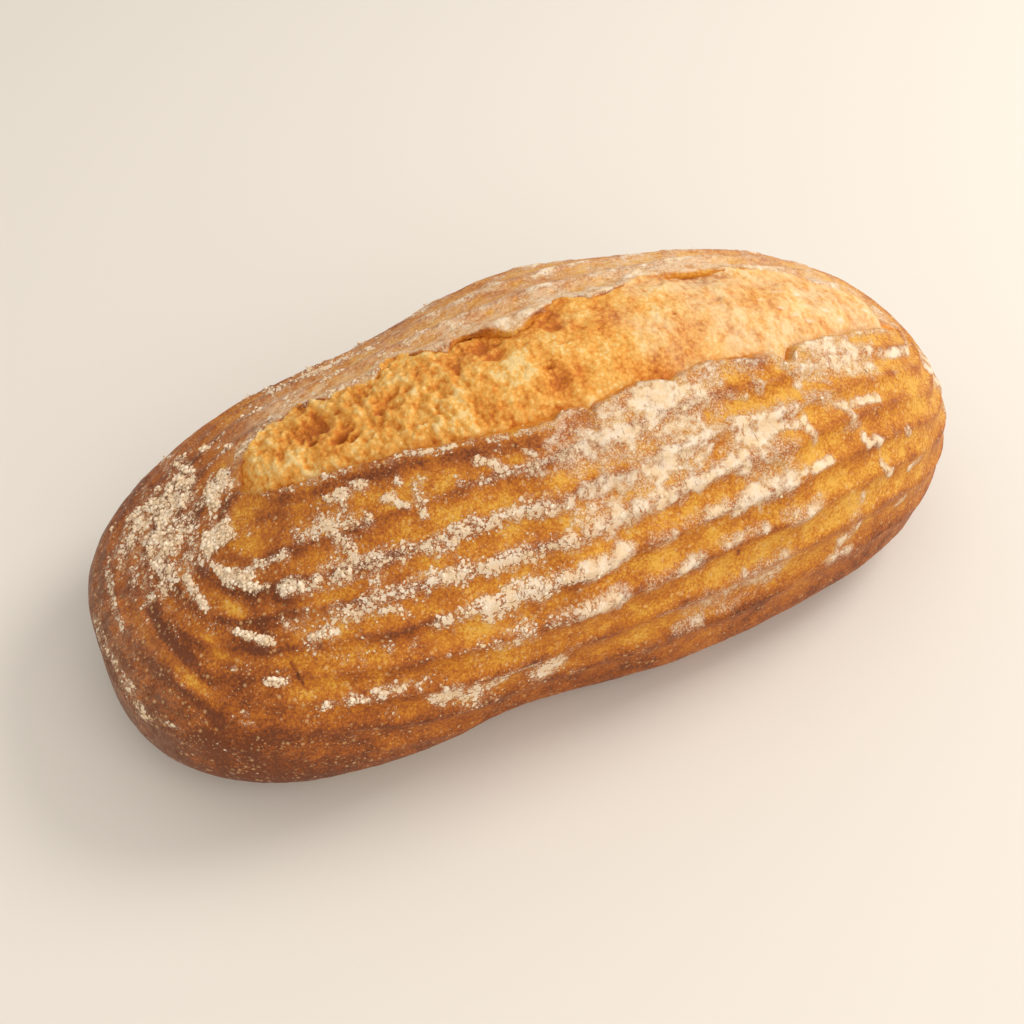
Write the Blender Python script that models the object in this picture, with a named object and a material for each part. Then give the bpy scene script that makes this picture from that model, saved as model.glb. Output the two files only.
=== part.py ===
"""Oval hearth loaf with one long opened slash and coil ridges, one solid of real size."""
import math

import bmesh
import bpy
import numpy as np
from mathutils import Vector, noise

MM = 0.001

# Body, millimetres: half length, half widths front and back, height above and below the girth
HALF_LENGTH = 150.0
HALF_FRONT = 70.1
HALF_BACK = 70.5
RISE = 70.4
BELLY = 35.5
SINK = 4.0
WIDTH_TAPER = (-0.107, 0.378)
RISE_TAPER = (0.293, -0.372)
LENGTH_POWER = 1.082
END_POWER = 0.869
LOW_END_POWER = 0.35
SIDE_POWER = 0.915
TOP_POWER = 0.933
BASE_POWER = 0.539
BEND = -7.4
WAIST = (5.6, -35.0, 32.0)
BACK_FLAT = (-2.6, -46.0, 30.0)
BACK_FULL = (2.1, 5.5, 26.0)

# Mesh: cells along the length, across the top, and up each side
CELLS_X = 44
CELLS_TOP = 14
CELLS_SIDE = 32
END_ANGLE = math.radians(53.0)
TOP_ANGLE = 27.2
LIP_COLUMNS = 4

# Edges of the opened slash seen from above (x, y), millimetres
NEAR_LIP = [(-97, 12), (-94, 6), (-88, 1.6), (-84, -1), (-75, -4), (-65, -10), (-55, -14),
            (-44, -19.5), (-32, -23.5), (-21, -26.7), (-12, -28.6), (0, -30), (16, -29.5),
            (30, -31), (50, -30.2), (65, -33), (75, -29), (96, -25), (113, -21), (124, -17),
            (128, -14)]
FAR_LIP = [(-97, 15), (-95, 17), (-92, 21), (-88, 24), (-80, 28), (-72, 30), (-66, 26),
           (-58, 21), (-50, 17), (-42, 21), (-33, 17), (-26, 13), (-20, 17), (-12, 12),
           (-6, 8), (3, 11), (11, 12), (20, 7.5), (30, 9), (42, 11), (57, 12), (69, 9),
           (80, 7), (96, 2.5), (108, -1), (118, -7), (128, -13.5)]
LIP_RISE = 1.6
FAR_LIP_RISE = 2.2
FAR_LIP_REACH = 2.4
FAR_CAVES = ((0.8, -15.0, 16.0), (0.8, 62.0, 12.0), (0.5, -80.0, 10.0))
VALLEY = 1.8
CAVITY = 4.2
CRAG = 2.4

# Coil ridges: a distance field from a spine under the slash, one ridge per whole number
RIDGE = 1.5
SPINE_X = (-95.0, 121.7)
SPINE_Y = (-27.3, -10.1, 17.0)
RING_START = -0.305
RING_LINEAR = (8.881, 1.079, 1.353)
RING_CUBIC = (-0.313, -2.694, 1.638)


def power(v, k):
    return np.sign(v) * np.abs(v) ** k


def smooth(a, b, v):
    t = np.clip((v - a) / (b - a), 0.0, 1.0)
    return t * t * (3.0 - 2.0 * t)


def bump(x, height, centre, width):
    return height * np.exp(-((x - centre) / width) ** 2)


def top_height(x):
    """Height of the plain body above the board along its middle."""
    u = np.clip(x / HALF_LENGTH, -1.0, 1.0)
    s = power(u, 1.0 / LENGTH_POWER)
    rise = RISE * (1.0 + RISE_TAPER[0] * u + RISE_TAPER[1] * u * u)
    return BELLY + rise * np.clip(1.0 - s * s, 0.0, 1.0) ** (END_POWER / 2.0)


def half_width(x):
    u = np.clip(x / HALF_LENGTH, -1.0, 1.0)
    s = power(u, 1.0 / LENGTH_POWER)
    taper = 1.0 + WIDTH_TAPER[0] * u + WIDTH_TAPER[1] * u * u
    return taper * np.clip(1.0 - s * s, 0.0, 1.0) ** (END_POWER / 2.0)


def body(s_x, angle):
    """Plain body: s_x is the sine of the end angle, angle turns from the back over the top."""
    u = power(s_x, LENGTH_POWER)
    x = HALF_LENGTH * u
    rho = np.clip(1.0 - s_x ** 2, 0.0, 1.0) ** (END_POWER / 2.0)
    c = np.cos(angle)
    s = np.sin(angle)
    taper = 1.0 + WIDTH_TAPER[0] * u + WIDTH_TAPER[1] * u * u
    rise = RISE * (1.0 + RISE_TAPER[0] * u + RISE_TAPER[1] * u * u)
    y = np.where(c > 0.0, HALF_BACK, HALF_FRONT) * taper * rho * power(c, SIDE_POWER)
    y = y + BEND * u * (1.0 - u * u)
    upper = rise * rho * power(s, TOP_POWER)
    low_rho = np.clip(1.0 - s_x ** 2, 0.0, 1.0) ** (LOW_END_POWER / 2.0)
    lower = (BELLY + SINK) * low_rho * power(s, BASE_POWER)
    z = BELLY + np.where(s > 0.0, upper, lower)
    front = np.where(c < 0.0, np.sqrt(np.abs(c)), 0.0)
    y = y + bump(x, *WAIST) * smooth(62.0, 18.0, z) * front
    back = smooth(0.05, 0.6, c) * smooth(-0.1, 0.35, s)
    push = (bump(x, *BACK_FLAT) + bump(x, *BACK_FULL)) * back
    return np.stack([x, y + 0.8 * push, np.maximum(z + 0.6 * push, 0.0)], axis=-1)


def lip(points, x):
    return np.interp(x, [p[0] for p in points], [p[1] for p in points])


def lean(x, y):
    """Angle from straight up, in degrees toward the front, of the body at x and y."""
    u = np.clip(x / HALF_LENGTH, -1.0, 1.0)
    wide = half_width(x) * np.where(y > 0.0, HALF_BACK, HALF_FRONT)
    t = power((y - BEND * u * (1.0 - u * u)) / np.maximum(wide, 1.0), 1.0 / SIDE_POWER)
    return -np.degrees(np.arcsin(np.clip(t, -0.95, 0.95)))


def grid_angle(b, c):
    """Angle round the girth for a place on the rim of the unit square."""
    side = 90.0 - TOP_ANGLE
    if abs(b) >= abs(c):
        up = c / abs(b)
        tilt = side * up + 12.0 * (1.0 - up * up)
        return tilt if b > 0.0 else 180.0 - tilt
    across = b / abs(c)
    return 90.0 - TOP_ANGLE * across if c > 0.0 else 270.0 + TOP_ANGLE * across


def lens_angle(angle, x):
    """Slide the mesh columns over the top so that two of them run along the slash edges."""
    if angle < 40.0 or angle > 140.0:
        return angle
    near = float(lean(x, lip(NEAR_LIP, x)))
    far = float(lean(x, lip(FAR_LIP, x)))
    inside = smooth(-112.0, -98.0, x) * (1.0 - smooth(126.0, 138.0, x))
    near = max(near, far + 5.0)
    step = 2.0 * TOP_ANGLE / CELLS_TOP
    edge = LIP_COLUMNS * step
    tight = 1.6
    old = [-50.0, -edge, -edge + step, edge - step, edge, 50.0]
    new = [-50.0, far, far + tight, near - tight, near, 50.0]
    moved = float(np.interp(angle - 90.0, old, new))
    return angle + inside * (moved + 90.0 - angle)


def ring_field(p):
    """Whole numbers of this field are the crests of the coil ridges."""
    t = np.linspace(0.0, 1.0, 61)
    x = SPINE_X[0] + (SPINE_X[1] - SPINE_X[0]) * t
    y = SPINE_Y[0] + SPINE_Y[1] * x / 100.0 + SPINE_Y[2] * (x / 100.0) ** 2
    spine = np.stack([x, y, top_height(x)], axis=1)
    reach = np.linalg.norm(p[:, None] - spine[None], axis=2).min(axis=1) / 100.0
    u = p[:, 0] / 100.0
    first = RING_LINEAR[0] + RING_LINEAR[1] * u + RING_LINEAR[2] * u * u
    third = RING_CUBIC[0] + RING_CUBIC[1] * u + RING_CUBIC[2] * u * u
    return RING_START + first * reach + third * reach ** 3


def relief(p):
    """Height above the plain body, and the sideways reach of the far lip."""
    x = p[:, 0]
    y = p[:, 1]
    z = p[:, 2]
    near = lip(NEAR_LIP, x)
    far = lip(FAR_LIP, x)
    top = smooth(45.0, 62.0, z)
    open_here = smooth(-97.0, -84.0, x) * (1.0 - smooth(112.0, 128.0, x)) * top
    inward_near = y - near
    inward_far = far - y
    inside = (inward_near > 0.3) & (inward_far > 0.3)

    ring = ring_field(p)
    off = np.abs(ring - np.round(ring))
    ridge = RIDGE * (np.exp(-(off / 0.2) ** 2) - 0.35)
    ridge = ridge * smooth(0.3, 1.2, ring) * (1.0 - smooth(7.4, 8.6, ring))
    ridge = ridge * smooth(10.0, 30.0, z) * (1.0 - 0.5 * smooth(0.0, 60.0, y))
    ridge = ridge * (1.0 - smooth(-70.0, -95.0, x) * smooth(2.6, 1.6, ring))
    ridge = ridge * (1.0 - 0.75 * smooth(-85.0, -125.0, x) * smooth(3.5, 5.5, ring))
    ridge = ridge * (1.0 - 0.5 * smooth(85.0, 115.0, x))
    near_edge = LIP_RISE * np.exp(-np.maximum(-inward_near, 0.0) / 5.0) * open_here
    far_edge = FAR_LIP_RISE * np.exp(-np.maximum(-inward_far, 0.0) / 8.0) * open_here
    crust = ridge + np.where(np.abs(inward_near) < np.abs(inward_far), near_edge, far_edge)

    crags = np.array([noise.fractal(Vector((a / 21.0, b / 10.0, c / 12.0)), 1.0, 2.0, 3)
                      for a, b, c in p])
    cave = 0.35 + sum(bump(x, *place) for place in FAR_CAVES)
    wide = np.maximum(far - near, 1.0)
    across = np.clip(inward_near / wide, 0.0, 1.0)
    dome = 1.2 * np.sin(math.pi * across)
    torn = dome - VALLEY * np.exp(-inward_near / 4.0)
    torn = torn - CAVITY * cave * np.exp(-inward_far / 5.0)
    torn = torn + CRAG * crags
    height = np.where(inside, torn * open_here, crust)
    height = height + 0.5 * crags * (1.0 - inside) * smooth(6.0, 30.0, z)
    reach = FAR_LIP_REACH * cave * np.exp(-(inward_far / 1.5) ** 2) * open_here
    return height, np.where(inside, 0.0, reach)


def build_mesh():
    bm = bmesh.new()
    bmesh.ops.create_cube(bm, size=2.0)
    for axis, cells in ((0, CELLS_X), (1, CELLS_TOP), (2, CELLS_SIDE)):
        along = [e for e in bm.edges if abs(e.verts[0].co[axis] - e.verts[1].co[axis]) > 1.0]
        bmesh.ops.subdivide_edges(bm, edges=along, cuts=cells - 1, use_grid_fill=True)
    for v in bm.verts:
        a, b, c = v.co
        size = max(abs(b), abs(c))
        if abs(a) > 0.9999:
            s_x = math.copysign(math.sqrt(1.0 - (math.cos(END_ANGLE) * size) ** 2), a)
        else:
            s_x = math.sin(END_ANGLE * a)
        angle = grid_angle(b, c) if size > 1e-6 else 90.0
        x = HALF_LENGTH * math.copysign(abs(s_x) ** LENGTH_POWER, s_x)
        angle = lens_angle(angle, x)
        v.co = body(np.array(s_x), np.array(math.radians(angle))).tolist()
    bmesh.ops.recalc_face_normals(bm, faces=bm.faces)
    bm.normal_update()
    p = np.array([v.co[:] for v in bm.verts])
    n = np.array([v.normal[:] for v in bm.verts])
    height, reach = relief(p)
    low = p[:, 2] <= 0.0
    moved = p + n * height[:, None]
    moved[:, 1] -= reach
    moved[:, 2] = np.where(low, 0.0, np.maximum(moved[:, 2], 0.0))
    middle = (moved.min(axis=0) + moved.max(axis=0)) / 2.0
    moved[:, 0] -= middle[0]
    moved[:, 1] -= middle[1]
    for v, place in zip(bm.verts, moved * MM):
        v.co = place.tolist()
    mesh = bpy.data.meshes.new("loaf")
    bm.to_mesh(mesh)
    bm.free()
    return mesh


def crust_material():
    material = bpy.data.materials.new("crust")
    material.use_nodes = True
    surface = material.node_tree.nodes["Principled BSDF"]
    surface.inputs["Base Color"].default_value = (0.47, 0.2, 0.055, 1.0)
    surface.inputs["Roughness"].default_value = 0.62
    return material


def main():
    for old in list(bpy.data.objects):
        bpy.data.objects.remove(old, do_unlink=True)
    home = bpy.data.collections.new("hearth_loaf")
    bpy.context.scene.collection.children.link(home)
    mesh = build_mesh()
    mesh.materials.append(crust_material())
    mesh.shade_smooth()
    loaf = bpy.data.objects.new("loaf", mesh)
    home.objects.link(loaf)


main()
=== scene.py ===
import itertools
import math

import bpy
import numpy as np
from mathutils import Matrix, Vector


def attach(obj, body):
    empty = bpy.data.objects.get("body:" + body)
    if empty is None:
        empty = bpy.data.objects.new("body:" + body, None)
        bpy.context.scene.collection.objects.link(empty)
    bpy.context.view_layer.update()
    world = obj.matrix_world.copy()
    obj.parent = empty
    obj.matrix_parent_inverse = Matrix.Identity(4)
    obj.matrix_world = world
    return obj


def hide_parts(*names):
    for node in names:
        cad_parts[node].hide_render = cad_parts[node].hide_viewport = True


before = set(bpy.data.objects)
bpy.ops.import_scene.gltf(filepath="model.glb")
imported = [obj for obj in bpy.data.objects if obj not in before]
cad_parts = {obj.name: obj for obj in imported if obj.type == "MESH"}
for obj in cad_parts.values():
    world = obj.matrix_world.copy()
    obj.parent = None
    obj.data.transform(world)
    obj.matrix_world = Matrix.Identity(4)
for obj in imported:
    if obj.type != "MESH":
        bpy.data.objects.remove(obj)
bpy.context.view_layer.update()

MM = 0.001
SHIFT = np.array([0.045, -1.556, 0.0])

# The CAD body, repeated here in millimetres because this script can't read it
HALF_LENGTH = 150.0
HALF_FRONT = 70.1
HALF_BACK = 70.5
RISE = 70.4
BELLY = 35.5
SINK = 4.0
WIDTH_TAPER = (1.0, -0.107, 0.378)
RISE_TAPER = (1.0, 0.293, -0.372)
LENGTH_POWER = 1.082
END_POWER = 0.869
LOW_END_POWER = 0.35
SIDE_POWER = 0.915
TOP_POWER = 0.933
BASE_POWER = 0.539
BEND = -7.4
WAIST = (5.6, -35.0, 32.0)
BACK_FLAT = (-2.6, -46.0, 30.0)
BACK_FULL = (2.1, 5.5, 26.0)
# Where those three act: falling height of the waist, rising cosine and sine of the back
WAIST_HEIGHT = (62.0, 18.0)
BACK_TURN = (0.05, 0.6)
BACK_UP = (-0.1, 0.35)
BACK_PUSH_Y = 0.8
BACK_PUSH_Z = 0.6

# Edges of the opened slash seen from above: x and y
NEAR_LIP = [(-97, 12), (-94, 6), (-88, 1.6), (-84, -1), (-75.5, -3.8), (-69.8, -6.9),
            (-65, -9.6), (-60, -11.9), (-55, -13.9), (-52, -14.3), (-46.9, -17.6),
            (-43.6, -19.7), (-38.9, -21.2), (-31.9, -23.6), (-21.4, -26.7), (-15.9, -27.8),
            (-11.8, -28.7), (-8.9, -28.1), (-5, -28.6), (-2.4, -29.4), (0, -32), (2.1, -30.6),
            (7.5, -30.1), (16.2, -29.4), (19.7, -30), (25.9, -32.2), (28, -31.4), (38.5, -30.2),
            (49.8, -30.2), (60.5, -31.2), (63, -31.5), (65, -34.5), (68, -33.8), (70.6, -30),
            (79.9, -28.2), (96.3, -25.1), (113.4, -20.7), (124.5, -16.9), (128, -14)]
FAR_LIP = [(-97, 15), (-95, 17), (-92.8, 21.4), (-88.9, 23.6), (-82.9, 26.4), (-77.6, 28.8),
           (-71.7, 30.8), (-67.6, 27.2), (-62.4, 23), (-56.2, 20.1), (-49.7, 16.9),
           (-45.9, 19.9), (-41.8, 22.4), (-38.3, 21), (-30.7, 15.6), (-26.7, 12.5),
           (-22.6, 17.7), (-17.8, 16.5), (-11, 11.5), (-7.6, 7.5), (-4.6, 7.2), (0.8, 9.6),
           (6.6, 12.1), (11, 12.1), (14.5, 10.4), (19.3, 7.1), (25.3, 6.9), (35.4, 9.9),
           (51.1, 11.9), (57.1, 12), (64.4, 11), (68.6, 9.1), (78.9, 7), (86.1, 5.8),
           (96.1, 2.4), (107.6, -0.6), (117.3, -7.3), (121.8, -11), (128, -13.5)]
# Small steps of the torn edges: strength, seed, size
NEAR_STEPS = ((0.5, 11, 8.0), (0.45, 12, 3.0))
FAR_STEPS = ((0.7, 13, 9.0), (0.7, 14, 3.5))
# Caves under the far lip: strength, x, half width
FAR_CAVES = ((0.9, -18.0, 9.0), (0.8, 57.0, 9.0), (0.5, -74.0, 6.0), (0.4, 4.0, 6.0))
# Lengths over which the slash opens at the left and closes at the right, for the lips,
# for the crumb inside and for the columns of the crust mesh
SLASH_OPENS = (-98.0, -86.0)
SLASH_CLOSES = (114.0, 129.0)
CRUMB_OPENS = (-99.0, -88.0)
CRUMB_CLOSES = (114.0, 130.0)
COLUMNS_OPEN = (-112.0, -98.0)
COLUMNS_CLOSE = (126.0, 138.0)
SINK_CLOSES = (113.0, 128.0)

# Coil ridges: the spine that they run round, and the field that counts them from it
SPINE_X = (-95.0, 121.7)
SPINE_Y = (-27.3, -10.1, 17.0)
RING_START = -0.305
RING_LINEAR = (8.881, 1.079, 1.353)
RING_CUBIC = (-0.313, -2.694, 1.638)
SPINE_POINTS = 61
PITCH = 11.5

# First ring and last ring of the rows of flour and of the ridges' relief
FLOUR_ROWS = ((0.3, 0.8), (6.7, 7.7))
RIDGE_ROWS = ((0.3, 1.2), (7.4, 8.6))

# Crust mesh: cells along the length, over the top and up each side
CELLS_X = 400
CELLS_TOP = 70
CELLS_SIDE = 190
END_ANGLE = math.radians(60.0)
TOP_ANGLE = 27.2
SIDE_TILT = 12.0
# Columns from the middle of the top to each slash edge, and how far from straight up, in
# degrees, the columns are slid to follow the edges
LIP_COLUMNS = 20
SLIDE_ANGLE = 50.0
LENS_POWER = 0.7
# Drop of the columns inside the edges, one value for each column, and of all beyond them
LIP_ROLL = (0.0, 0.55, 1.7, 3.6, 6.0)
SUNK = -9.0

# Cracks and small pits of the crust: start and end in millimetres, half width
CRACKS = [
    ((-103.1, -46.3, 58.1), (-102.6, -50.0, 56.1), 0.42),
    ((-102.6, -50.0, 56.1), (-101.2, -54.3, 53.0), 0.38),
    ((-139.4, -16.5, 48.0), (-138.2, -19.8, 46.0), 0.45),
    ((-122.4, -54.6, 35.8), (-121.6, -55.2, 35.4), 0.8),
    ((33.2, -66.6, 58.4), (33.9, -66.8, 57.4), 0.8),
]

# Holes and dents of the opened crumb: x, y, half sizes along x and y, depth
BLOOM_PITS = [
    (-72.6, 8.4, 1.7, 1.1, 2.6), (-65.6, 3.0, 2.2, 1.5, 2.6), (-62.1, 0.2, 1.6, 1.0, 2.4),
    (-69.7, 14.0, 6.5, 6.0, 2.4), (-48.2, 2.1, 1.4, 1.2, 1.4), (-53.1, -0.3, 1.2, 1.2, 1.4),
    (-50.6, 15.1, 1.6, 1.2, 1.4), (-43.3, -9.4, 1.2, 1.0, 1.4), (-28.0, 0.8, 1.2, 1.2, 1.4),
    (-37.8, -6.9, 1.2, 1.0, 1.6), (-69.1, 25.7, 1.2, 1.2, 1.6), (-36.0, -0.1, 2.6, 2.2, 1.3),
    (-16.0, 7.6, 7.0, 3.5, 1.4), (-14.8, -0.6, 4.0, 3.0, 1.2), (58.5, 5.0, 8.0, 5.0, 1.6),
    (57.3, -6.8, 1.6, 1.0, 1.6), (39.0, -10.3, 1.2, 0.7, 1.2), (16.6, -6.5, 1.6, 0.5, 0.9),
    (4.0, -7.7, 2.0, 0.6, 1.1), (100.6, -4.1, 1.8, 0.6, 1.0), (78.3, -22.9, 1.6, 0.6, 1.0),
    (66.2, -21.9, 1.6, 0.6, 0.8), (82.8, -1.6, 1.6, 0.6, 0.8), (-4.5, -18.0, 4.0, 4.0, 1.6),
    (-4.5, -13.6, 1.8, 0.7, 1.3), (3.4, -18.6, 3.0, 2.6, 1.1), (10.7, -3.4, 3.0, 2.0, 1.0),
    (5.1, 0.7, 4.0, 2.2, 1.3), (-19.6, -3.8, 2.0, 0.7, 0.8), (-5.1, 7.8, 4.0, 3.0, 1.8),
    (-45.0, 6.0, 7.0, 2.5, 0.9), (-36.0, -4.6, 6.0, 2.0, 0.8), (-62.0, 8.0, 3.0, 6.0, 1.0),
]

# Flour that fell on the opened crumb: x, y, half sizes
BLOOM_FLOUR = [
    (79.7, -7.0, 3.4, 1.4), (87.5, -7.9, 3.2, 1.4), (94.1, -15.4, 3.4, 1.3),
    (76.5, -14.8, 3.0, 1.3), (80.5, -17.4, 3.4, 1.3), (84.5, -19.8, 3.0, 1.2),
    (113.6, -12.2, 3.4, 1.6), (98.5, -18.5, 2.6, 1.2), (70.9, -10.6, 2.4, 1.0),
]

# Bloom mesh: cells along and across, and how far it reaches under the near and far lips
BLOOM_X = 440
BLOOM_ACROSS = 96
UNDER_NEAR = 2.5
UNDER_FAR = 3.5

# Loose flour: how many lumps, smallest and largest radius, seed, most slant of the crust
GRAIN_COUNT = 5000
GRAIN_SIZES = (0.18, 0.95)
GRAIN_SEED = 61
GRAIN_SLANT = -0.2

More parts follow.
